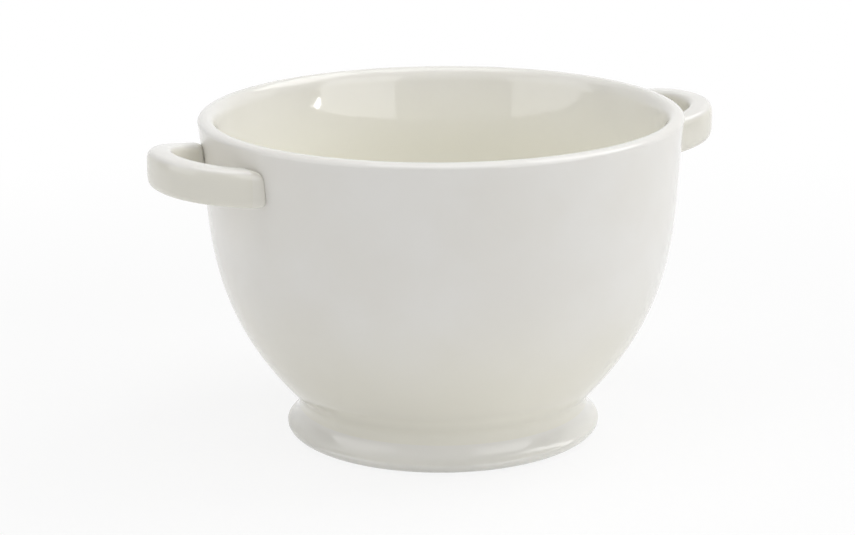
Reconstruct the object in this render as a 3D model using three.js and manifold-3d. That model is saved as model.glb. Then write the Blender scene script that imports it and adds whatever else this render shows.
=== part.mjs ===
// A two-handled bouillon cup of glazed stoneware, in millimetres with +Z up.
// The origin lies on the cup's axis, in the plane that the foot stands on.
// The two loop handles lie along X. The foot and the handles are formed apart
// from the bowl and are luted to it with slip, so each joint is a solid of its own.

import * as THREE from 'three';
import { mergeVertices } from 'three/addons/utils/BufferGeometryUtils.js';
import Module from 'manifold-3d';

// Bowl
const CUP_HEIGHT = 81.5;
const RIM_RADIUS = 60;
const WALL = 4.5;
const WALL_THICKENING = 1.5;
const THICKENING_DEPTH = 20;
const LIP_OUTER_HEIGHT = 1.3;
const LIP_INNER_DEPTH = 4;
const FLOOR_THICKNESS = 5.3;
const RIM_FLARE_ANGLE = 6.8;
const SIDE_LEAN_ANGLE = 47.5;
const SIDE_LOWER_PULL = 34.4;
const SIDE_UPPER_PULL = 23.4;
const INSIDE_TURN_HEIGHT = 18.8;

// Foot
const FOOT_RADIUS = 39.6;
const FOOT_WIDEST_HEIGHT = 2;
const FOOT_EDGE_WIDTH = 3.5;
const FOOT_BEAD_RADIUS = 0.8;
const FOOT_BEAD_TURN = 58;
const COVE_RADIUS = 5.4;
const STANDING_WIDTH = 2.6;
const FOOT_TOP_WIDTH = 4.6;
const FOOT_INNER_ROUND = 0.8;

// Handles: a flat loop in plan, swept by an upright rounded section
const HANDLE_DROP = 9.8;
const HANDLE_RISE = 2.3;
const HANDLE_HALF_SPAN = 16;
const HANDLE_REACH = 16.8;
const HANDLE_LOOP_POWER = 2.23;
const STRAP_THICKNESS = 6.3;
const STRAP_HEIGHT = 9;
const STRAP_POWER = 4;

// Slip joints
const FOOT_SLIP_THICKNESS = 0.5;
const HANDLE_SLIP_LEAST = 0.8;
const HANDLE_SLIP_TAPER = 0.8;
const JOINT_GAP = 0.3;

// How far a cutting shape reaches past what it cuts
const CUT_MARGIN = 10;

// Fineness of the faceted solids
const TURN_STEPS = 64;
const SIDE_STEPS = 12;
const FLOOR_STEPS = 6;
const LIP_STEPS = 3;
const ARC_STEPS = 4;
const LOOP_STEPS = 28;
const SECTION_STEPS = 16;
const WELD_DISTANCE = 1e-4;

// The share of the way to the corner that makes a cubic curve as round as an ellipse's quarter
const ROUND_PULL = 0.552;

// How far apart two curve parameters lie that give a direction
const NEAR_PARAMETER = 0.001;

const radians = THREE.MathUtils.degToRad;
const point = (radius, height) => new THREE.Vector2(radius, height);

// Sizes that follow from the foot's rounds: the neck is the narrowest place between foot and bowl.
const ROUNDS_SUM = FOOT_BEAD_RADIUS + COVE_RADIUS;
const NECK_RADIUS = FOOT_RADIUS - ROUNDS_SUM * (1 - Math.cos(radians(FOOT_BEAD_TURN)));
const NECK_HEIGHT = FOOT_WIDEST_HEIGHT + ROUNDS_SUM * Math.sin(radians(FOOT_BEAD_TURN));
const FOOT_TOP = NECK_HEIGHT - FOOT_SLIP_THICKNESS;
const FOOT_TOP_INNER_RADIUS = NECK_RADIUS - FOOT_TOP_WIDTH;
const STANDING_OUTER_RADIUS = FOOT_RADIUS - FOOT_EDGE_WIDTH;
const STANDING_INNER_RADIUS = STANDING_OUTER_RADIUS - STANDING_WIDTH;

// Points on an ellipse's arc, from one angle to another in degrees, both ends included.
function arc(centre, width, height, from, to, steps) {
  return Array.from({ length: steps + 1 }, (_, i) => {
    const angle = radians(from + ((to - from) * i) / steps);
    return point(centre.x + width * Math.cos(angle), centre.y + height * Math.sin(angle));
  });
}

// The cove between foot and bowl, on the neck's level: its lower half belongs to the foot and its slip.
const COVE_CENTRE = point(NECK_RADIUS + COVE_RADIUS, NECK_HEIGHT);
const SLIP_ANGLE = THREE.MathUtils.radToDeg(Math.asin(FOOT_SLIP_THICKNESS / COVE_RADIUS));
const cove = (from, to, steps) => arc(COVE_CENTRE, COVE_RADIUS, COVE_RADIUS, 180 + from, 180 + to, steps);

// The lip is a quarter ellipse outside, where it is tightest, and a longer round inside.
const LIP_WIDTH = WALL / 2;
const LIP_CENTRE = point(RIM_RADIUS - LIP_WIDTH, CUP_HEIGHT - LIP_OUTER_HEIGHT);
const LIP_SLOPE = (Math.tan(radians(RIM_FLARE_ANGLE)) * LIP_OUTER_HEIGHT) / LIP_WIDTH;
const LIP_START = THREE.MathUtils.radToDeg(Math.atan(LIP_SLOPE));
const lipArc = (from, to, steps) => arc(LIP_CENTRE, LIP_WIDTH, LIP_OUTER_HEIGHT, from, to, steps);

// The bowl's outer side: one cubic curve from the cove's upper end to the lip.
function sideCurve() {
  const bottom = cove(0, SIDE_LEAN_ANGLE - 90, 1)[1];
  const lean = radians(SIDE_LEAN_ANGLE);
  const flare = radians(RIM_FLARE_ANGLE);
  const top = lipArc(-LIP_START, 0, 1)[0];
  return new THREE.CubicBezierCurve(
    bottom,
    point(bottom.x + SIDE_LOWER_PULL * Math.cos(lean), bottom.y + SIDE_LOWER_PULL * Math.sin(lean)),
    point(top.x - SIDE_UPPER_PULL * Math.sin(flare), top.y - SIDE_UPPER_PULL * Math.cos(flare)),
    top,
  );
}

const SIDE = sideCurve();

// Below this height the inside leaves the even wall and turns into the floor.
const EVEN_WALL_HEIGHT = NECK_HEIGHT + INSIDE_TURN_HEIGHT;

// The curve parameter at which the outer side reaches a height, halved until no number lies between the ends.
function sideAt(height) {
  let low = 0;
  let high = 1;
  let middle = (low + high) / 2;
  while (low < middle && middle < high) {
    if (SIDE.getPoint(middle).y < height) low = middle;
    else high = middle;
    middle = (low + high) / 2;
  }
  return low;
}

// A point at a distance from the outer side, along its outward normal.
function besideSide(t, distance) {
  const tangent = SIDE.getTangent(t);
  return SIDE.getPoint(t).add(point(tangent.y, -tangent.x).multiplyScalar(distance));
}

// Points beside the outer side from one parameter to another, at the distance that each parameter has.
function sideRun(from, to, distanceAt) {
  return Array.from({ length: SIDE_STEPS + 1 }, (_, i) => {
    const t = from + ((to - from) * i) / SIDE_STEPS;
    return besideSide(t, distanceAt(t));
  });
}

// The wall's thickness at a parameter: it grows from the lip downwards and is then even.
function wallAt(t) {
  const depth = SIDE.getPoint(1).y - SIDE.getPoint(t).y;
  return WALL + WALL_THICKENING * THREE.MathUtils.smoothstep(depth, 0, THICKENING_DEPTH);
}

// The lip's inside: a round from its top to the inner wall at a side parameter.
function innerLip(enter) {
  const wallPoint = (t) => besideSide(t, -wallAt(t));
  const top = point(LIP_CENTRE.x, CUP_HEIGHT);
  const end = wallPoint(enter);
  const rise = end.clone().sub(wallPoint(enter - NEAR_PARAMETER));
  const corner = end.clone().addScaledVector(rise, (CUP_HEIGHT - end.y) / rise.y);
  const upper = top.clone().lerp(corner, ROUND_PULL);
  const lower = end.clone().lerp(corner, ROUND_PULL);
  return new THREE.CubicBezierCurve(top, upper, lower, end).getPoints(LIP_STEPS);
}

// A solid turned about Z from a profile of radius and height.
function turned(profile) {
  const geometry = new THREE.LatheGeometry(profile, TURN_STEPS);
  const position = geometry.attributes.position;
  for (let i = 0; i < position.count; i += 1) {
    position.setXYZ(i, position.getX(i), -position.getZ(i), position.getY(i));
  }
  geometry.computeVertexNormals();
  return geometry;
}

// Bowl: underside, half cove, outer side, round lip, inner wall and a floor that turns up into it.
function bowlProfile() {
  const enter = sideAt(CUP_HEIGHT - LIP_INNER_DEPTH);
  const leave = sideAt(EVEN_WALL_HEIGHT);
  const lip = [
    ...lipArc(-LIP_START, 0, 1),
    ...lipArc(0, 90, LIP_STEPS).slice(1),
    ...innerLip(enter).slice(1),
  ];
  const inner = sideRun(enter, leave, (t) => -wallAt(t));
  const wallEnd = inner.at(-1);
  const tangent = SIDE.getTangent(leave);
  const floorHeight = NECK_HEIGHT + FLOOR_THICKNESS;
  const corner = point(wallEnd.x - (tangent.x / tangent.y) * (wallEnd.y - floorHeight), floorHeight);
  const middle = point(0, floorHeight);
  const turn = new THREE.QuadraticBezierCurve(wallEnd, corner, middle);
  return [
    point(0, NECK_HEIGHT),
    ...cove(0, SIDE_LEAN_ANGLE - 90, ARC_STEPS).slice(0, -1),
    ...sideRun(0, 1, () => 0).slice(0, -1),
    ...lip.slice(0, -1),
    ...inner.slice(0, -1),
    ...turn.getPoints(FLOOR_STEPS),
  ];
}

// Foot: flat standing ring, rounded lower edge, bead, lower cove, flat joint face and tapered inside.
function footProfile() {
  const beadCentre = point(FOOT_RADIUS - FOOT_BEAD_RADIUS, FOOT_WIDEST_HEIGHT);
  const edgeCentre = point(STANDING_OUTER_RADIUS, FOOT_WIDEST_HEIGHT);
  const innerCentre = point(STANDING_INNER_RADIUS, FOOT_INNER_ROUND);
  const outline = [
    ...arc(edgeCentre, FOOT_EDGE_WIDTH, FOOT_WIDEST_HEIGHT, -90, 0, ARC_STEPS),
    ...arc(beadCentre, FOOT_BEAD_RADIUS, FOOT_BEAD_RADIUS, 0, FOOT_BEAD_TURN, ARC_STEPS).slice(1),
    ...cove(FOOT_BEAD_TURN, SLIP_ANGLE, ARC_STEPS).slice(1),
    point(FOOT_TOP_INNER_RADIUS, FOOT_TOP),
    ...arc(innerCentre, FOOT_INNER_ROUND, FOOT_INNER_ROUND, 180, 270, ARC_STEPS),
  ];
  return [...outline, outline[0]];
}

// The ring of slip between the foot's joint face and the bowl's underside.
function footSlipProfile() {
  const outer = cove(SLIP_ANGLE, 0, 2);
  const inner = [point(FOOT_TOP_INNER_RADIUS, NECK_HEIGHT), point(FOOT_TOP_INNER_RADIUS, FOOT_TOP)];
  return [...outer, ...inner, outer[0]];
}

// Handle loop in plan: half a rounded oval whose ends run into the wall along X.
const HANDLE_HEIGHT = CUP_HEIGHT - HANDLE_DROP;
const WALL_AT_HANDLE = SIDE.getPoint(sideAt(HANDLE_HEIGHT)).x;
const LOOP_START = Math.sqrt(WALL_AT_HANDLE ** 2 - HANDLE_HALF_SPAN ** 2);
const LOOP_TIP = WALL_AT_HANDLE + HANDLE_REACH - STRAP_THICKNESS / 2;
const power = (value, exponent) => Math.sign(value) * Math.abs(value) ** exponent;

class HandleLoop extends THREE.Curve {
  getPoint(t, target = new THREE.Vector3()) {
    const angle = radians(180 * t - 90);
    const out = power(Math.cos(angle), 2 / HANDLE_LOOP_POWER);
    const across = power(Math.sin(angle), 2 / HANDLE_LOOP_POWER);
    return target.set(
      LOOP_START + (LOOP_TIP - LOOP_START) * out,
      HANDLE_HALF_SPAN * across,
      HANDLE_HEIGHT + HANDLE_RISE * out,
    );
  }
}

// The plane where a handle's flat ends meet their slip, clear of the wall's widest place behind them.
const SLIP_TOP = HANDLE_HEIGHT + STRAP_HEIGHT / 2;
const SLIP_NEAR_SIDE = HANDLE_HALF_SPAN - STRAP_THICKNESS / 2;
const WALL_AT_SLIP_TOP = SIDE.getPoint(sideAt(SLIP_TOP)).x;
const WALL_BEHIND_SLIP = Math.sqrt(WALL_AT_SLIP_TOP ** 2 - SLIP_NEAR_SIDE ** 2);
const JOINT_PLANE = WALL_BEHIND_SLIP + JOINT_GAP + HANDLE_SLIP_LEAST;

// One ring of the strap's section about a place on the loop, drawn in evenly by a margin.
function sectionRing(place, sideways, margin) {
  return Array.from({ length: SECTION_STEPS }, (_, i) => {
    const angle = (2 * Math.PI * i) / SECTION_STEPS;
    const out = (STRAP_THICKNESS / 2 - margin) * power(Math.cos(angle), 2 / STRAP_POWER);
    const up = (STRAP_HEIGHT / 2 - margin) * power(Math.sin(angle), 2 / STRAP_POWER);
    return new THREE.Vector3(place.x + sideways.x * out, place.y + sideways.y * out, place.z + up);
  });
}

// The handle's rings, all along the loop.
function handleRings() {
  const loop = new HandleLoop();
  return Array.from({ length: LOOP_STEPS + 1 }, (_, i) => {
    const t = i / LOOP_STEPS;
    const tangent = loop.getTangent(t).setZ(0).normalize();
    return sectionRing(loop.getPoint(t), new THREE.Vector3(tangent.y, -tangent.x, 0), 0);
  });
}

// A root's rings, along X from inside the wall to past the joint plane, rounding off towards the wall.
function slipRings(end) {
  const run = JOINT_PLANE - LOOP_START;
  const sideways = new THREE.Vector3(0, -1, 0);
  const rounded = Array.from({ length: ARC_STEPS + 1 }, (_, i) => LOOP_START + (run * i) / ARC_STEPS);
  const xs = [LOOP_START - CUT_MARGIN, ...rounded, JOINT_PLANE + CUT_MARGIN];
  return xs.map((x) => {
    const share = THREE.MathUtils.clamp((JOINT_PLANE - x) / run, 0, 1);
    const rise = (HANDLE_RISE * Math.max(x - LOOP_START, 0)) / (LOOP_TIP - LOOP_START);
    const place = new THREE.Vector3(x, end * HANDLE_HALF_SPAN, HANDLE_HEIGHT + rise);
    return sectionRing(place, sideways, HANDLE_SLIP_TAPER * share ** 2);
  });
}

// A closed skin over rings of points, with a flat fan at each end.
function lofted(rings) {
  const count = rings[0].length;
  const index = [];
  const quad = (a, b, c, d) => index.push(a, b, c, a, c, d);
  for (let r = 0; r < rings.length - 1; r += 1) {
    for (let i = 0; i < count; i += 1) {
      const next = (i + 1) % count;
      quad(r * count + i, (r + 1) * count + i, (r + 1) * count + next, r * count + next);
    }
  }
  const last = (rings.length - 1) * count;
  for (let i = 1; i < count - 1; i += 1) {
    index.push(0, i, i + 1);
    index.push(last, last + i + 1, last + i);
  }
  const geometry = new THREE.BufferGeometry().setFromPoints(rings.flat());
  geometry.setIndex(index);
  return geometry;
}

const wasm = await Module();
wasm.setup();

// A solid for cutting, made from a closed geometry.
function solidOf(geometry) {
  const bare = geometry.clone();
  bare.deleteAttribute('normal');
  bare.deleteAttribute('uv');
  const merged = mergeVertices(bare, WELD_DISTANCE);
  const corners = merged.index.array;
  const triVerts = [];
  for (let i = 0; i < corners.length; i += 3) {
    const [a, b, c] = corners.slice(i, i + 3);
    if (a !== b && b !== c && c !== a) triVerts.push(a, b, c);
  }
  const vertProperties = new Float32Array(merged.attributes.position.array);
  const mesh = new wasm.Mesh({ numProp: 3, vertProperties, triVerts: new Uint32Array(triVerts) });
  return new wasm.Manifold(mesh);
}

function geometryOf(solid) {
  const mesh = solid.getMesh();
  const geometry = new THREE.BufferGeometry();
  geometry.setAttribute('position', new THREE.BufferAttribute(mesh.vertProperties, 3));
  geometry.setIndex(new THREE.BufferAttribute(mesh.triVerts, 1));
  geometry.computeVertexNormals();
  return geometry;
}

// The bowl's outside with the joint gap around it, which the slip is cut back to.
function wallCutter() {
  const around = [
    ...sideRun(0, 1, () => JOINT_GAP).slice(0, -1),
    ...arc(LIP_CENTRE, LIP_WIDTH + JOINT_GAP, LIP_OUTER_HEIGHT + JOINT_GAP, -LIP_START, 90, LIP_STEPS),
  ];
  return solidOf(turned([point(0, around[0].y), ...around, point(0, around.at(-1).y)]));
}

// A block over a handle's two roots that ends at the joint plane.
function jointBlock() {
  const depth = JOINT_PLANE - LOOP_START + 2 * CUT_MARGIN;
  const width = 2 * (HANDLE_HALF_SPAN + STRAP_THICKNESS + CUT_MARGIN);
  const height = 2 * (STRAP_HEIGHT + HANDLE_RISE + CUT_MARGIN);
  const block = new THREE.BoxGeometry(depth, width, height);
  return solidOf(block.translate(JOINT_PLANE - depth / 2, 0, HANDLE_HEIGHT));
}

// Half a turn about Z, for the left side.
function turnedRound(geometry) {
  const copy = geometry.clone();
  const position = copy.attributes.position;
  for (let i = 0; i < position.count; i += 1) {
    position.setXYZ(i, -position.getX(i), -position.getY(i), position.getZ(i));
  }
  copy.computeVertexNormals();
  return copy;
}

const glaze = () => new THREE.MeshStandardMaterial({ color: 0xe9e6dc, roughness: 0.12, metalness: 0 });
const slip = () => new THREE.MeshStandardMaterial({ color: 0xe4e0d4, roughness: 0.2, metalness: 0 });

const cup = new THREE.Group();

function addPiece(name, geometry, material) {
  const piece = new THREE.Mesh(geometry, material);
  piece.name = name;
  cup.add(piece);
}

addPiece('bowl_body', turned(bowlProfile()), glaze());
addPiece('foot_ring', turned(footProfile()), glaze());
addPiece('foot_slip_ring', turned(footSlipProfile()), slip());

const inside = jointBlock();
const handle = geometryOf(solidOf(lofted(handleRings())).subtract(inside));
addPiece('right_handle', handle, glaze());
addPiece('left_handle', turnedRound(handle), glaze());

const wall = wallCutter();
const rootSlip = (end) => geometryOf(solidOf(lofted(slipRings(end))).intersect(inside).subtract(wall));
const front = rootSlip(-1);
const rear = rootSlip(1);
addPiece('right_handle_front_slip', front, slip());
addPiece('right_handle_rear_slip', rear, slip());
addPiece('left_handle_front_slip', turnedRound(rear), slip());
addPiece('left_handle_rear_slip', turnedRound(front), slip());

export default cup;
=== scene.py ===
# A two-handled bouillon cup of glossy ivory stoneware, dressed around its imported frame.
# Lengths are in metres, with +Z up.
import math

import bpy
import numpy as np
from mathutils import Matrix, Vector


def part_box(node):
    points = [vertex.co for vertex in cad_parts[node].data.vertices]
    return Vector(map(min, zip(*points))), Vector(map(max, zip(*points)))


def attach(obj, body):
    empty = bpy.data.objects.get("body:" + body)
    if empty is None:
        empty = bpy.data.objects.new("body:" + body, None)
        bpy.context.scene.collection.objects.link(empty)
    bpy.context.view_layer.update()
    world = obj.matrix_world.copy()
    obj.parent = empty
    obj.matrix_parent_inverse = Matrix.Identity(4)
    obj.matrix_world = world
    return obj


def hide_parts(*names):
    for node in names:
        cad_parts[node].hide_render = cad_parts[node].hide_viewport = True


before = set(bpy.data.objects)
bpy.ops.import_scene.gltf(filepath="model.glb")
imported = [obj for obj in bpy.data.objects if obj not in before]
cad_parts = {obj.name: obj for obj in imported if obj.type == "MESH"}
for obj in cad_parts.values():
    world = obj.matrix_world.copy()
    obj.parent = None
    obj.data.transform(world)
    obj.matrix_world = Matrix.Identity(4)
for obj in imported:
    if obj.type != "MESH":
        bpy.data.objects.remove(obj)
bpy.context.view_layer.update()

MM = 0.001

# Sizes taken from the frame
bowl_low, bowl_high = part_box("bowl_body")
foot_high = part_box("foot_ring")[1]
handle_low, handle_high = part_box("right_handle")
CUP_HEIGHT = bowl_high.z
RIM_RADIUS = bowl_high.x
NECK_HEIGHT = bowl_low.z
FOOT_RADIUS = foot_high.x
FOOT_TOP = foot_high.z
JOINT_PLANE = handle_low.x
HANDLE_TIP = handle_high.x

# Bowl
WALL = 4.5 * MM
WALL_THICKENING = 1.5 * MM
THICKENING_DEPTH = 20 * MM
LIP_OUTER_HEIGHT = 1.3 * MM
LIP_INNER_DEPTH = 4 * MM
FLOOR_THICKNESS = 5.3 * MM
RIM_FLARE_ANGLE = 6.8
SIDE_LEAN_ANGLE = 47.5
SIDE_LOWER_PULL = 34.4 * MM
SIDE_UPPER_PULL = 23.4 * MM
INSIDE_TURN_HEIGHT = 18.8 * MM

# Foot
FOOT_WIDEST_HEIGHT = 2 * MM
FOOT_EDGE_WIDTH = 3.5 * MM
FOOT_BEAD_RADIUS = 0.8 * MM
FOOT_BEAD_TURN = 58
COVE_RADIUS = 5.4 * MM
STANDING_WIDTH = 2.6 * MM
FOOT_TOP_WIDTH = 4.6 * MM
FOOT_INNER_ROUND = 0.8 * MM

# Handles
HANDLE_DROP = 9.8 * MM
HANDLE_RISE = 2.3 * MM
HANDLE_HALF_SPAN = 16 * MM
HANDLE_LOOP_POWER = 2.23
STRAP_THICKNESS = 6.3 * MM
STRAP_HEIGHT = 9 * MM
STRAP_POWER = 4
ROOT_TAPER = 0.8 * MM
ROOT_SUNK = 0.03 * MM

# Fineness of the meshes
TURN_STEPS = 256
SIDE_STEPS = 96
LIP_STEPS = 40
ARC_STEPS = 24
FLOOR_STEPS = 48
LOOP_STEPS = 160
SECTION_STEPS = 72
ROOT_STEPS = 20
SEARCH_HALVINGS = 48
SEARCH_END = 0.4
SHARP_ANGLE = math.radians(40)

# The share of the way to the corner that makes a cubic curve as round as an ellipse's quarter
ROUND_PULL = 0.552

# How far apart two parameters lie that give a direction, on the side's curve and on the strap
NEAR_ON_SIDE = 0.001
NEAR_ON_STRAP = 0.01

# Camera, as fitted to the photograph's outline
FRAME_WIDTH = 855
FOCAL_PIXELS = 2416
SENSOR_WIDTH = 36
CAMERA_TURN = 27.885
CAMERA_LIFT = 15.534
CAMERA_ROLL = -0.392
CAMERA_DISTANCE = 607.87 * MM
CAMERA_AIM = Vector((0, 0, 40.77 * MM))
AIM_RIGHT_PIXELS = 14.58
AIM_DOWN_PIXELS = 1.26

# Studio: directions in degrees, counted from the camera to its right and up from the floor
STUDIO_CENTRE = Vector((0, 0, 45 * MM))
FLOOR_HALF = 6.0
WHITE_FLOOR_NEAR = 0.12
WHITE_FLOOR_FAR = 0.35
WHITE_FLOOR_SHARE = 0.85
CARD_DISTANCE = 0.6
ENERGY_PER_RADIANCE = 4
FLOOR_WHITE = (0.95, 0.95, 0.95, 1)
WORLD_SOFT = 0.02
WORLD_SEEN = 1.0


def arc(centre, width, height, start, end, steps):
    """Points on an ellipse's arc between two angles in degrees, both ends included."""
    angles = np.radians(np.linspace(start, end, steps + 1))
    return np.column_stack([centre[0] + width * np.cos(angles), centre[1] + height * np.sin(angles)])


def bezier(points, t):
    """Points of a Bezier curve at the parameters t."""
    layer = [np.outer(np.ones_like(t), p) for p in points]
    while len(layer) > 1:
        layer = [a + (b - a) * t[:, None] for a, b in zip(layer, layer[1:])]
    return layer[0]


def signed_power(values, exponent):
    return np.sign(values) * np.abs(values) ** exponent


def unit(vectors):
    return vectors / np.linalg.norm(vectors, axis=-1, keepdims=True)


# The foot's bead and the cove above it meet at one slope, which gives the neck its radius.
rounds_sum = FOOT_BEAD_RADIUS + COVE_RADIUS
neck_radius = FOOT_RADIUS - rounds_sum * (1 - math.cos(math.radians(FOOT_BEAD_TURN)))
cove_centre = (neck_radius + COVE_RADIUS, NECK_HEIGHT)
slip_angle = math.degrees(math.asin((NECK_HEIGHT - FOOT_TOP) / COVE_RADIUS))
foot_top_inner_radius = neck_radius - FOOT_TOP_WIDTH
standing_outer_radius = FOOT_RADIUS - FOOT_EDGE_WIDTH
standing_inner_radius = standing_outer_radius - STANDING_WIDTH

# The lip is a quarter ellipse outside, where it is tightest, and a longer round inside.
lip_centre = (RIM_RADIUS - WALL / 2, CUP_HEIGHT - LIP_OUTER_HEIGHT)
lip_slope = math.tan(math.radians(RIM_FLARE_ANGLE)) * LIP_OUTER_HEIGHT / (WALL / 2)
lip_start = math.degrees(math.atan(lip_slope))
outer_lip = arc(lip_centre, WALL / 2, LIP_OUTER_HEIGHT, -lip_start, 90, LIP_STEPS)


def cove(start, end):
    """Points of the cove between foot and bowl, with angles counted from the neck's level."""
    return arc(cove_centre, COVE_RADIUS, COVE_RADIUS, 180 + start, 180 + end, ARC_STEPS)


def side_control_points():
    """The bowl's outer side: one cubic curve from the cove's upper end to the lip."""
    lean = math.radians(SIDE_LEAN_ANGLE)
    flare = math.radians(RIM_FLARE_ANGLE)
    bottom = cove(0, SIDE_LEAN_ANGLE - 90)[-1]
    top = outer_lip[0]
    lower = bottom + SIDE_LOWER_PULL * np.array([math.cos(lean), math.sin(lean)])
    upper = top - SIDE_UPPER_PULL * np.array([math.sin(flare), math.cos(flare)])
    return np.array([bottom, lower, upper, top])


side_points = side_control_points()
side_steps = np.linspace(0, 1, SIDE_STEPS + 1)
side_curve = bezier(side_points, side_steps)


def side_normal(t):
    """Outward normals of the outer side, in radius and height."""
    slope = unit(bezier(np.diff(side_points, axis=0), t))
    return np.column_stack([slope[:, 1], -slope[:, 0]])


def wall_radius(height):
    """The outer side's radius at a height."""
    return np.interp(height, side_curve[:, 1], side_curve[:, 0])


def inner_wall(t):
    """The wall's inside: the wall thickens from the lip downwards and is then even."""
    outer = bezier(side_points, t)
    depth = np.clip((side_points[-1][1] - outer[:, 1]) / THICKENING_DEPTH, 0, 1)
    thickness = WALL + WALL_THICKENING * depth * depth * (3 - 2 * depth)
    return outer - side_normal(t) * thickness[:, None]


def inner_lip(t):
    """The lip's inside: a round from its top to the inner wall at a side parameter."""
    top = outer_lip[-1]
    end, below = inner_wall(np.array([t, t - NEAR_ON_SIDE]))
    corner = end + (end - below) * (CUP_HEIGHT - end[1]) / (end[1] - below[1])
    points = [top, top + (corner - top) * ROUND_PULL, end + (corner - end) * ROUND_PULL, end]
    return bezier(points, np.linspace(0, 1, LIP_STEPS + 1))


def bowl_profile():
    """Underside, half cove, outer side, round lip, inner wall and a floor that turns up into it."""
    enter = np.interp(CUP_HEIGHT - LIP_INNER_DEPTH, side_curve[:, 1], side_steps)
    leave = np.interp(NECK_HEIGHT + INSIDE_TURN_HEIGHT, side_curve[:, 1], side_steps)
    inner = inner_wall(np.linspace(enter, leave, SIDE_STEPS + 1))
    wall_end = inner[-1]
    normal = side_normal(np.array([leave]))[0]
    floor_height = NECK_HEIGHT + FLOOR_THICKNESS
    corner = (wall_end[0] + normal[1] / normal[0] * (wall_end[1] - floor_height), floor_height)
    turn = bezier([wall_end, corner, (0, floor_height)], np.linspace(0, 1, FLOOR_STEPS + 1))
    return np.vstack([
        [(0, NECK_HEIGHT)],
        cove(0, SIDE_LEAN_ANGLE - 90)[:-1],
        side_curve[:-1],
        outer_lip[:-1],
        inner_lip(enter)[:-1],
        inner[:-1],
        turn,
    ])


def foot_profile():
    """Flat standing ring, rounded lower edge, bead, lower cove, flat joint face and tapered inside."""
    bead_centre = (FOOT_RADIUS - FOOT_BEAD_RADIUS, FOOT_WIDEST_HEIGHT)
    edge_centre = (standing_outer_radius, FOOT_WIDEST_HEIGHT)
    inner_centre = (standing_inner_radius, FOOT_INNER_ROUND)
    outline = np.vstack([
        arc(edge_centre, FOOT_EDGE_WIDTH, FOOT_WIDEST_HEIGHT, -90, 0, ARC_STEPS),
        arc(bead_centre, FOOT_BEAD_RADIUS, FOOT_BEAD_RADIUS, 0, FOOT_BEAD_TURN, ARC_STEPS)[1:],
        cove(FOOT_BEAD_TURN, slip_angle)[1:],
        [(foot_top_inner_radius, FOOT_TOP)],
        arc(inner_centre, FOOT_INNER_ROUND, FOOT_INNER_ROUND, 180, 270, ARC_STEPS),
    ])
    return np.vstack([outline, outline[:1]])


def foot_slip_profile():
    """The ring of slip between the foot's joint face and the bowl's underside."""
    outline = np.vstack([
        cove(slip_angle, 0),
        [(foot_top_inner_radius, NECK_HEIGHT), (foot_top_inner_radius, FOOT_TOP)],
    ])
    return np.vstack([outline, outline[:1]])


def mesh_piece(name, vertices, faces):
    """A smooth-shaded object whose real corners stay sharp."""
    mesh = bpy.data.meshes.new(name)
    mesh.from_pydata(vertices, [], faces)
    mesh.shade_smooth()
    mesh.set_sharp_from_angle(angle=SHARP_ANGLE)
    piece = bpy.data.objects.new(name, mesh)
    bpy.context.scene.collection.objects.link(piece)
    return piece


def turned(name, profile):
    """A body turned about Z from a profile that runs from axis to axis, or that ends where it starts."""
    angles = np.linspace(0, 2 * math.pi, TURN_STEPS, endpoint=False)
    closes = np.allclose(profile[0], profile[-1])
    vertices = []
    rings = []
    for radius, height in profile[:-1] if closes else profile:
        start = len(vertices)
        if radius > 0:
            vertices += [(radius * math.cos(a), radius * math.sin(a), height) for a in angles]
            rings.append(list(range(start, start + TURN_STEPS)))
        else:
            vertices.append((0, 0, height))
            rings.append([start] * TURN_STEPS)
    if closes:
        rings.append(rings[0])
    faces = []
    for lower, upper in zip(rings, rings[1:]):
        for j in range(TURN_STEPS):
            k = (j + 1) % TURN_STEPS
            faces.append(list(dict.fromkeys((lower[j], lower[k], upper[k], upper[j]))))
    return mesh_piece(name, vertices, faces)


def lofted(name, rings):
    """A closed skin over rings of points, with a face over each end."""
    ring_count, count = rings.shape[:2]
    faces = []
    for r in range(ring_count - 1):
        for i in range(count):
            k = (i + 1) % count
            faces.append((r * count + i, (r + 1) * count + i, (r + 1) * count + k, r * count + k))
    last = (ring_count - 1) * count
    faces.append(tuple(range(count)))
    faces.append(tuple(last + i for i in reversed(range(count))))
    return mesh_piece(name, rings.reshape(-1, 3).tolist(), faces)


# The handle's loop in plan is half a rounded oval whose ends run into the wall along X.
handle_height = CUP_HEIGHT - HANDLE_DROP
loop_start = math.sqrt(wall_radius(handle_height) ** 2 - HANDLE_HALF_SPAN ** 2)
loop_reach = HANDLE_TIP - STRAP_THICKNESS / 2 - loop_start
section_angles = np.linspace(0, 2 * math.pi, SECTION_STEPS, endpoint=False)
section_out = STRAP_THICKNESS / 2 * signed_power(np.cos(section_angles), 2 / STRAP_POWER)
section_up = STRAP_HEIGHT / 2 * signed_power(np.sin(section_angles), 2 / STRAP_POWER)


def strap_frame(t):
    """Places on the handle's centre line at the parameters t, and the way out of the loop there."""
    angles = math.pi * (t - 0.5)
    out = signed_power(np.cos(angles), 2 / HANDLE_LOOP_POWER)
    across = signed_power(np.sin(angles), 2 / HANDLE_LOOP_POWER)
    place = np.stack([
        loop_start + loop_reach * out,
        HANDLE_HALF_SPAN * across,
        handle_height + HANDLE_RISE * out,
    ], axis=-1)
    sideways = unit(np.stack([
        signed_power(out, HANDLE_LOOP_POWER - 1) / loop_reach,
        signed_power(across, HANDLE_LOOP_POWER - 1) / HANDLE_HALF_SPAN,
        np.zeros_like(out),
    ], axis=-1))
    return place, sideways


def strap_points(t):
    """The strap's surface: one point for each angle of its section, each at its own parameter."""
    place, sideways = strap_frame(t)
    points = place + sideways * section_out[:, None]
    points[:, 2] += section_up
    return points


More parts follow.
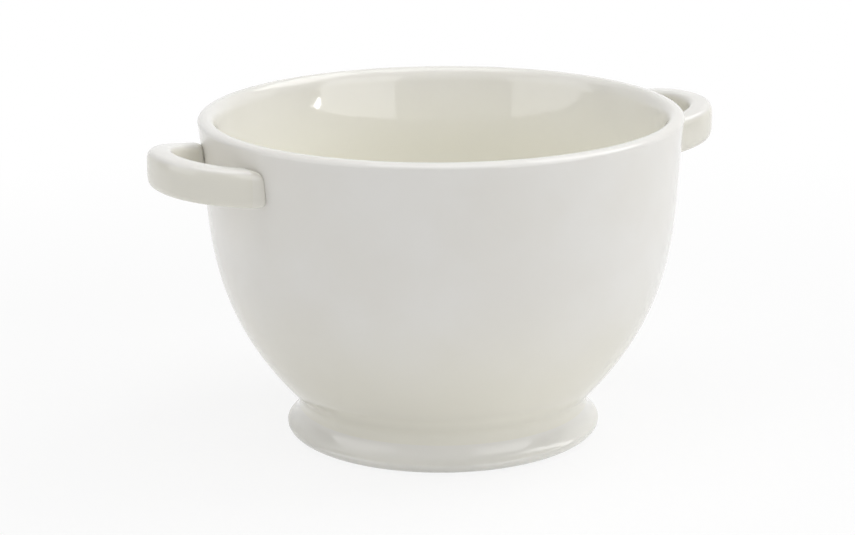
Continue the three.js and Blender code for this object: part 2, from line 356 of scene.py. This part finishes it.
def joint_parameters():
    """For each angle of the section, the parameter at which the strap reaches the joint plane."""
    low = np.zeros(SECTION_STEPS)
    high = np.full(SECTION_STEPS, SEARCH_END)
    for _ in range(SEARCH_HALVINGS):
        middle = (low + high) / 2
        short = strap_points(middle)[:, 0] < JOINT_PLANE
        low = np.where(short, middle, low)
        high = np.where(short, high, middle)
    return low


joint_t = joint_parameters()


def handle_rings():
    """The strap's rings, from the joint plane at one root to the joint plane at the other."""
    shares = np.linspace(0, 1, LOOP_STEPS + 1)
    return np.array([strap_points(joint_t + (1 - 2 * joint_t) * share) for share in shares])


def onto_wall(points, inside):
    """Points moved straight to or from the cup's axis, to lie a little inside the wall's surface."""
    away = points[:, :2] / np.linalg.norm(points[:, :2], axis=1)[:, None]
    moved = points.copy()
    moved[:, :2] = away * (wall_radius(points[:, 2]) - inside)[:, None]
    return moved


def root_rings(rear):
    """A root of slip, from the wall to the joint plane, which rounds off towards the wall."""
    t = 1 - joint_t if rear else joint_t
    inward = NEAR_ON_STRAP if rear else -NEAR_ON_STRAP
    start = strap_points(t)
    towards = unit(start - strap_points(t - inward))
    low = np.zeros(SECTION_STEPS)
    high = np.full(SECTION_STEPS, WALL * 3)
    for _ in range(SEARCH_HALVINGS):
        middle = (low + high) / 2
        reached = start + towards * middle[:, None]
        outside = np.hypot(reached[:, 0], reached[:, 1]) > wall_radius(reached[:, 2])
        low = np.where(outside, middle, low)
        high = np.where(outside, high, middle)
    corner = start + towards * low[:, None]
    slope_out = signed_power(section_out / STRAP_THICKNESS, STRAP_POWER - 1) / STRAP_THICKNESS
    spread = strap_frame(t)[1] * slope_out[:, None]
    spread[:, 2] += signed_power(section_up / STRAP_HEIGHT, STRAP_POWER - 1) / STRAP_HEIGHT
    foot = onto_wall(corner - unit(spread) * ROOT_TAPER, np.full(SECTION_STEPS, ROOT_SUNK))
    shares = np.linspace(0, 1, ROOT_STEPS + 1)
    rings = [(1 - s) ** 2 * start + 2 * s * (1 - s) * corner + s * s * foot for s in shares]
    return np.array(rings if rear else rings[::-1])


def half_turn(rings):
    """The same rings on the cup's other side."""
    return rings * np.array([-1, -1, 1])


class Nodes:
    """A material's or world's node tree, with short ways to add and link nodes."""

    def __init__(self, owner):
        owner.use_nodes = True
        self.tree = owner.node_tree
        self.tree.nodes.clear()

    def add(self, kind, **settings):
        node = self.tree.nodes.new(kind)
        for key, value in settings.items():
            setattr(node, key, value)
        return node

    def put(self, value, socket):
        """Links a socket to an input, or sets the input's value."""
        if isinstance(value, bpy.types.NodeSocket):
            self.tree.links.new(value, socket)
        else:
            socket.default_value = value

    def noise(self, vector, size, detail, roughness=0.5):
        """Noise whose blotches are about that size, in metres."""
        node = self.add("ShaderNodeTexNoise")
        self.put(vector, node.inputs["Vector"])
        self.put(1 / size, node.inputs["Scale"])
        self.put(detail, node.inputs["Detail"])
        self.put(roughness, node.inputs["Roughness"])
        return node.outputs["Fac"]

    def ranged(self, value, low, high, to_low=0.0, to_high=1.0):
        """A smooth step from one value to another."""
        node = self.add("ShaderNodeMapRange", interpolation_type="SMOOTHSTEP")
        for socket, setting in zip(node.inputs, (value, low, high, to_low, to_high)):
            self.put(setting, socket)
        return node.outputs["Result"]

    def math(self, operation, first, second=0.0):
        node = self.add("ShaderNodeMath", operation=operation)
        self.put(first, node.inputs[0])
        self.put(second, node.inputs[1])
        return node.outputs["Value"]

    def vector(self, operation, first, second=(0, 0, 0)):
        node = self.add("ShaderNodeVectorMath", operation=operation)
        self.put(first, node.inputs[0])
        self.put(second, node.inputs[1])
        return node.outputs["Value" if operation in ("DOT_PRODUCT", "LENGTH") else "Vector"]

    def split(self, vector):
        """The sockets of a vector's X, Y and Z."""
        node = self.add("ShaderNodeSeparateXYZ")
        self.put(vector, node.inputs[0])
        return node.outputs

    def mix(self, share, first, second):
        """A colour between two others."""
        node = self.add("ShaderNodeMix", data_type="RGBA")
        self.put(share, node.inputs["Factor"])
        self.put(first, node.inputs["A"])
        self.put(second, node.inputs["B"])
        return node.outputs["Result"]

    def bump(self, height, distance, normal=None):
        node = self.add("ShaderNodeBump")
        self.put(distance, node.inputs["Distance"])
        self.put(height, node.inputs["Height"])
        if normal:
            self.put(normal, node.inputs["Normal"])
        return node.outputs["Normal"]


IVORY = (0.86, 0.843, 0.80, 1)
PALE_IVORY = (0.88, 0.868, 0.835, 1)
# Darker, warmer ivory: thick glaze, and painted shade where it is used under the bowl, on the handles'
# sides and in the root fillets.
POOLED_IVORY_AND_PAINTED_SHADE = (0.815, 0.793, 0.70, 1)
# Paler ivory in the cove over the foot: painted light against the shade there.
COVE_PAINTED_LIGHT_IVORY = (0.88, 0.86, 0.77, 1)
# Paler ivory over the foot, palest at its lower edge: painted light for the floor's bounce.
FOOT_PAINTED_LIGHT_IVORY = (0.925, 0.915, 0.87, 1)
# Paler, warmer ivory deep inside the bowl: painted light for the light that bounces about inside.
INSIDE_PAINTED_LIGHT_IVORY = (0.925, 0.91, 0.83, 1)
BARE_CLAY = (0.56, 0.49, 0.40, 1)
DARK_CLAY = (0.43, 0.36, 0.28, 1)
GLAZE_ROUGHNESS = (0.025, 0.055)
CLAY_ROUGHNESS = 0.85

# Sizes of the finish: blotches of noise and depths of its relief
CLOUD_SIZE = 22 * MM
WAVE_SIZE = 9 * MM
WAVE_DEPTH = 0.014 * MM
PEEL_SIZE = 1.1 * MM
PEEL_DEPTH = 0.003 * MM
GRAIN_SIZE = 0.5 * MM
WIPE_SIZE = 5 * MM
WIPE_UNEVENNESS = 0.25 * MM
RUN_UNEVENNESS = 8 * MM

# Heights between which the finish changes, each from where the change starts to where it is complete
# Heights of the bowl's darker, warmer lower outside: partly thick glaze, partly painted shade.
BOWL_POOLING_AND_SHADE_HEIGHTS = (56 * MM, 20 * MM)
# Heights of the cove's painted light.
COVE_PAINTED_LIGHT_HEIGHTS = (16 * MM, 13 * MM)
# Heights of the painted light deep inside the bowl.
INSIDE_PAINTED_LIGHT_HEIGHTS = (88 * MM, 60 * MM)
# Heights over which the foot's painted light grows to full.
FOOT_PAINTED_LIGHT_HEIGHTS = (6.5 * MM, 3 * MM)
BARE_HEIGHTS = (0.34 * MM, 0.26 * MM)


def glaze(name, pooling_and_shade):
    """Clear gloss glaze over an ivory body; the given function gives the share of the darker, warmer
    colour at a place, which stands for thick glaze and, on some pieces, for painted shade.
    """
    material = bpy.data.materials.new(name)
    nodes = Nodes(material)
    place = nodes.add("ShaderNodeTexCoord").outputs["Object"]
    height = nodes.split(place)["Z"]
    clouds = nodes.noise(place, CLOUD_SIZE, 3.0)
    colour = nodes.mix(nodes.ranged(clouds, 0.35, 0.7), IVORY, PALE_IVORY)
    # The darker, warmer colour: thick glaze, and on some pieces painted shade.
    colour = nodes.mix(pooling_and_shade(nodes, height, clouds), colour, POOLED_IVORY_AND_PAINTED_SHADE)
    waves = nodes.noise(place, WAVE_SIZE, 1.0)
    peel = nodes.noise(place, PEEL_SIZE, 2.0)
    roughness = nodes.ranged(clouds, 0.3, 0.7, *GLAZE_ROUGHNESS)
    normal = nodes.bump(peel, PEEL_DEPTH, nodes.bump(waves, WAVE_DEPTH))
    shader = nodes.add("ShaderNodeBsdfPrincipled")
    nodes.put(colour, shader.inputs["Base Color"])
    nodes.put(roughness, shader.inputs["Roughness"])
    nodes.put(normal, shader.inputs["Normal"])
    output = nodes.add("ShaderNodeOutputMaterial")
    nodes.put(shader.outputs["BSDF"], output.inputs["Surface"])
    return material, nodes, shader, height, colour, roughness


def facing_in(nodes):
    """1 on the bowl's inside and 0 on its outside, from the way that the surface faces."""
    surface = nodes.add("ShaderNodeNewGeometry").outputs
    away = nodes.vector("NORMALIZE", nodes.vector("MULTIPLY", surface["Position"], (1, 1, 0)))
    outward = nodes.vector("DOT_PRODUCT", surface["Normal"], away)
    upward = nodes.split(surface["Normal"])["Z"]
    return nodes.ranged(nodes.math("SUBTRACT", upward, outward), 0.2, 0.9)


def bowl_pooling_and_shade(nodes, height, clouds):
    """Darker and warmer low on the outside: partly glaze that ran down and set thicker, partly painted
    shade and painted warm bounce light under the bowl.
    """
    run = nodes.math("ADD", height, nodes.math("MULTIPLY", clouds, RUN_UNEVENNESS))
    return nodes.ranged(run, *BOWL_POOLING_AND_SHADE_HEIGHTS)


def foot_pooling(nodes, height, clouds):
    """Glaze lies a little unevenly on the foot."""
    return nodes.ranged(clouds, 0.2, 0.8, 0.0, 0.2)


def joint_pooling_and_shade(nodes, height, clouds):
    """The root fillets darker and warmer all over: painted shade of the creases at the roots, partly
    glaze gathered there.
    """
    return nodes.ranged(clouds, 0.2, 0.8, 0.4, 0.7)


def handle_painted_shade(nodes, height, clouds):
    """Painted shade: the handle darker and warmer on its sides and underside than on its top, by the way
    the surface faces, with a little thicker glaze there too.
    """
    upward = nodes.split(nodes.add("ShaderNodeNewGeometry").outputs["Normal"])["Z"]
    return nodes.ranged(upward, 0.8, 0.2, 0.0, 0.8)


def bowl_glaze():
    """The bowl's glaze, paler in the cove over the foot as painted light against the shade there, and
    paler and warmer deep inside as painted light for the light that bounces about in the bowl.
    """
    material, nodes, shader, height, colour, roughness = glaze("bowl_glaze", bowl_pooling_and_shade)
    # Paler colour in the cove over the foot: painted light against the shade there.
    colour = nodes.mix(nodes.ranged(height, *COVE_PAINTED_LIGHT_HEIGHTS), colour, COVE_PAINTED_LIGHT_IVORY)
    # Paler, warmer colour deep inside: painted light for the light that bounces about in the bowl.
    inside_painted_light = nodes.math("MULTIPLY", nodes.ranged(height, *INSIDE_PAINTED_LIGHT_HEIGHTS), facing_in(nodes))
    nodes.put(nodes.mix(inside_painted_light, colour, INSIDE_PAINTED_LIGHT_IVORY), shader.inputs["Base Color"])
    return material


def foot_glaze():
    """The foot's glaze, paler all over and palest towards its lower edge as painted light for the floor's
    bounce, and wiped off the ring that it stands on.
    """
    material, nodes, shader, height, colour, roughness = glaze("foot_glaze", foot_pooling)
    # Paler towards the foot's lower edge: painted light for the floor's bounce.
    colour = nodes.mix(nodes.ranged(height, *FOOT_PAINTED_LIGHT_HEIGHTS, 0.3, 1.0), colour, FOOT_PAINTED_LIGHT_IVORY)
    place = nodes.add("ShaderNodeTexCoord").outputs["Object"]
    grain = nodes.noise(place, GRAIN_SIZE, 4.0, 0.7)
    edge = nodes.noise(place, WIPE_SIZE, 2.0)
    wiped = nodes.math("ADD", height, nodes.math("MULTIPLY", edge, WIPE_UNEVENNESS))
    bare = nodes.ranged(wiped, *BARE_HEIGHTS)
    clay = nodes.mix(nodes.ranged(grain, 0.35, 0.65), DARK_CLAY, BARE_CLAY)
    nodes.put(nodes.mix(bare, colour, clay), shader.inputs["Base Color"])
    rough = nodes.add("ShaderNodeMix", data_type="FLOAT")
    nodes.put(bare, rough.inputs["Factor"])
    nodes.put(roughness, rough.inputs["A"])
    nodes.put(CLAY_ROUGHNESS, rough.inputs["B"])
    nodes.put(rough.outputs["Result"], shader.inputs["Roughness"])
    return material


def dress(piece, material, node):
    """Gives a piece its finish and its place in the frame."""
    piece.data.materials.append(material)
    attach(piece, "root")
    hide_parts(node)


def make_cup():
    bowl_finish = bowl_glaze()
    # The handles' glaze is painted darker on their sides and underside: painted shade.
    handle_finish = glaze("handle_glaze", handle_painted_shade)[0]
    # The roots' glaze is painted darker in the fillets: painted shade, partly glaze gathered there.
    joint_finish = glaze("joint_glaze_painted_shade", joint_pooling_and_shade)[0]
    dress(turned("glazed_bowl", bowl_profile()), bowl_finish, "bowl_body")
    dress(turned("glazed_foot", foot_profile()), foot_glaze(), "foot_ring")
    dress(turned("foot_seam", foot_slip_profile()), bowl_finish, "foot_slip_ring")
    strap = handle_rings()
    front, rear = root_rings(False), root_rings(True)
    sides = (("right", strap, front, rear), ("left", half_turn(strap), half_turn(rear), half_turn(front)))
    for side, loop, near, far in sides:
        dress(lofted(side + "_loop", loop), handle_finish, side + "_handle")
        dress(lofted(side + "_front_root", near), joint_finish, side + "_handle_front_slip")
        dress(lofted(side + "_rear_root", far), joint_finish, side + "_handle_rear_slip")


def studio_direction(turn, lift):
    """A direction from the cup, with turn counted from the camera to its right."""
    angle = math.radians(CAMERA_TURN - turn)
    level = math.cos(math.radians(lift))
    return Vector((-math.sin(angle) * level, -math.cos(angle) * level, math.sin(math.radians(lift))))


def make_camera():
    data = bpy.data.cameras.new("camera")
    data.sensor_fit = "HORIZONTAL"
    data.sensor_width = SENSOR_WIDTH
    data.lens = FOCAL_PIXELS / FRAME_WIDTH * SENSOR_WIDTH
    data.shift_x = -AIM_RIGHT_PIXELS / FRAME_WIDTH
    data.shift_y = AIM_DOWN_PIXELS / FRAME_WIDTH
    camera = bpy.data.objects.new("camera", data)
    back = studio_direction(0, CAMERA_LIFT)
    camera.matrix_world = (
        Matrix.Translation(CAMERA_AIM + back * CAMERA_DISTANCE)
        @ (-back).to_track_quat("-Z", "Y").to_matrix().to_4x4()
        @ Matrix.Rotation(math.radians(CAMERA_ROLL), 4, "Z")
    )
    bpy.context.scene.collection.objects.link(camera)
    bpy.context.scene.camera = camera


def softbox(name, turn, lift, distance, width, height, radiance, in_gloss=True):
    """A rectangular lamp that faces the cup, and whether the glaze mirrors it."""
    data = bpy.data.lights.new(name, "AREA")
    data.shape = "RECTANGLE"
    data.size = width
    data.size_y = height
    data.energy = ENERGY_PER_RADIANCE * width * height * radiance
    lamp = bpy.data.objects.new(name, data)
    back = studio_direction(turn, lift)
    lamp.location = STUDIO_CENTRE + back * distance
    lamp.rotation_mode = "QUATERNION"
    lamp.rotation_quaternion = (-back).to_track_quat("-Z", "Y")
    lamp.visible_glossy = in_gloss
    bpy.context.scene.collection.objects.link(lamp)


def dark_card(name, turn, width, height, grey):
    """A grey card that stands on the floor beside the cup and shows only in its gloss."""
    across = studio_direction(turn + 90, 0) * width / 2
    foot = studio_direction(turn, 0) * CARD_DISTANCE
    up = Vector((0, 0, height))
    corners = [foot - across, foot + across, foot + across + up, foot - across + up]
    card = mesh_piece(name, corners, [(0, 1, 2, 3)])
    material = bpy.data.materials.new(name)
    nodes = Nodes(material)
    plain = nodes.add("ShaderNodeEmission")
    nodes.put((grey, grey, grey, 1), plain.inputs["Color"])
    output = nodes.add("ShaderNodeOutputMaterial")
    nodes.put(plain.outputs["Emission"], output.inputs["Surface"])
    card.data.materials.append(material)
    card.visible_camera = False
    card.visible_diffuse = False
    card.visible_shadow = False
    card.visible_transmission = False


def seen_directly(nodes):
    """1 for rays from the camera, from gloss and through glass, and 0 for rays that carry soft light."""
    path = nodes.add("ShaderNodeLightPath")
    seen = nodes.math("MAXIMUM", path.outputs["Is Camera Ray"], path.outputs["Is Glossy Ray"])
    return nodes.math("MAXIMUM", seen, path.outputs["Is Transmission Ray"])


def make_floor():
    """A white floor that keeps the cup's shadow near it and is plain white further away."""
    half = FLOOR_HALF
    corners = [(-half, -half, 0), (half, -half, 0), (half, half, 0), (-half, half, 0)]
    floor = mesh_piece("floor", corners, [(0, 1, 2, 3)])
    material = bpy.data.materials.new("floor_white")
    nodes = Nodes(material)
    place = nodes.add("ShaderNodeTexCoord").outputs["Object"]
    distance = nodes.vector("LENGTH", place)
    far = nodes.ranged(distance, WHITE_FLOOR_NEAR, WHITE_FLOOR_FAR, WHITE_FLOOR_SHARE, 1.0)
    diffuse = nodes.add("ShaderNodeBsdfDiffuse")
    nodes.put(FLOOR_WHITE, diffuse.inputs["Color"])
    white = nodes.add("ShaderNodeEmission")
    plain = nodes.add("ShaderNodeMixShader")
    nodes.put(nodes.math("MULTIPLY", far, seen_directly(nodes)), plain.inputs[0])
    nodes.put(diffuse.outputs["BSDF"], plain.inputs[1])
    nodes.put(white.outputs["Emission"], plain.inputs[2])
    output = nodes.add("ShaderNodeOutputMaterial")
    nodes.put(plain.outputs["Shader"], output.inputs["Surface"])
    floor.data.materials.append(material)


def make_world():
    """White where it is seen, and an even soft light on the cup."""
    world = bpy.data.worlds.new("studio")
    bpy.context.scene.world = world
    nodes = Nodes(world)
    background = nodes.add("ShaderNodeBackground")
    strength = nodes.ranged(seen_directly(nodes), 0.0, 1.0, WORLD_SOFT, WORLD_SEEN)
    nodes.put(strength, background.inputs["Strength"])
    nodes.put((1, 1, 1, 1), background.inputs["Color"])
    output = nodes.add("ShaderNodeOutputWorld")
    nodes.put(background.outputs["Background"], output.inputs["Surface"])


def make_lamps():
    """The lamps, with turn, lift, distance, width, height and radiance, and the cards."""
    softbox("key_softbox", 48, 21, 1.1, 0.92, 0.75, 1.46)
    softbox("fill_softbox", -66, 19, 1.1, 1.08, 0.75, 1.16)
    softbox("upper_right_softbox", 110, 52, 1.2, 0.9, 0.7, 2.4)
    softbox("upper_left_softbox", -95, 52, 1.2, 0.9, 0.7, 0.55)
    softbox("overhead_softbox", 0, 86, 1.2, 0.9, 0.8, 1.75)
    softbox("rear_softbox", 180, 24, 1.2, 1.2, 0.8, 0.35, in_gloss=False)
    softbox("strip_lamp", 79, 8.7, 0.5, 0.14, 0.0045, 16)
    dark_card("left_card", -103, 0.24, 0.5, 0.5)
    dark_card("right_card", 87, 0.36, 0.5, 0.15)


make_camera()
make_cup()
make_floor()
make_world()
make_lamps()
bpy.context.scene.view_settings.view_transform = "Standard"
